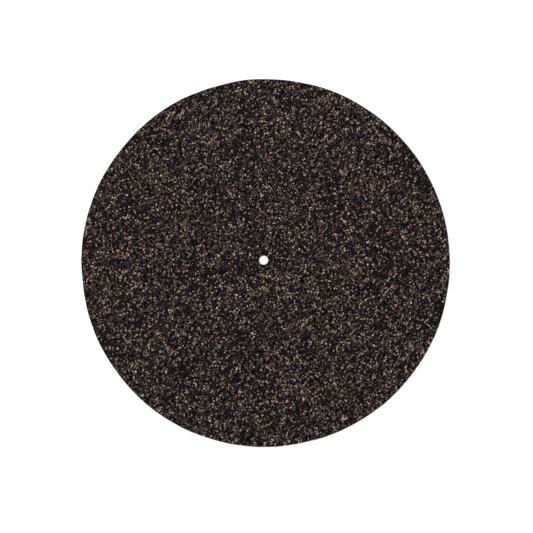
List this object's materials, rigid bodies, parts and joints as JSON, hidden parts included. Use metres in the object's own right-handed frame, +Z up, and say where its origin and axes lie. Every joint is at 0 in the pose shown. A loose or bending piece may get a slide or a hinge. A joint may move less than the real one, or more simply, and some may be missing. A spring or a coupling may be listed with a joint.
{
  "type": "turntable platter mat",
  "caption": "Flat round mat of cork granules bound in black rubber, with a punched centre hole for a turntable's spindle.",
  "frame": {"origin": "middle of the underside, on the spindle's axis, where the mat lies on the platter", "axes": "+Z up along the spindle's axis, out of the face that carries the record; the mat is the same all round, so +X and +Y are free"},
  "size_m": [0.295, 0.295, 0.003],
  "materials": {
    "cork_rubber": "matte near-black rubber densely filled with small irregular tan, beige and grey-brown cork granules, cut flush at the faces and edges"
  },
  "bodies": {
    "root": {"platter_mat": "cork_rubber"}
  },
  "joints": []
}
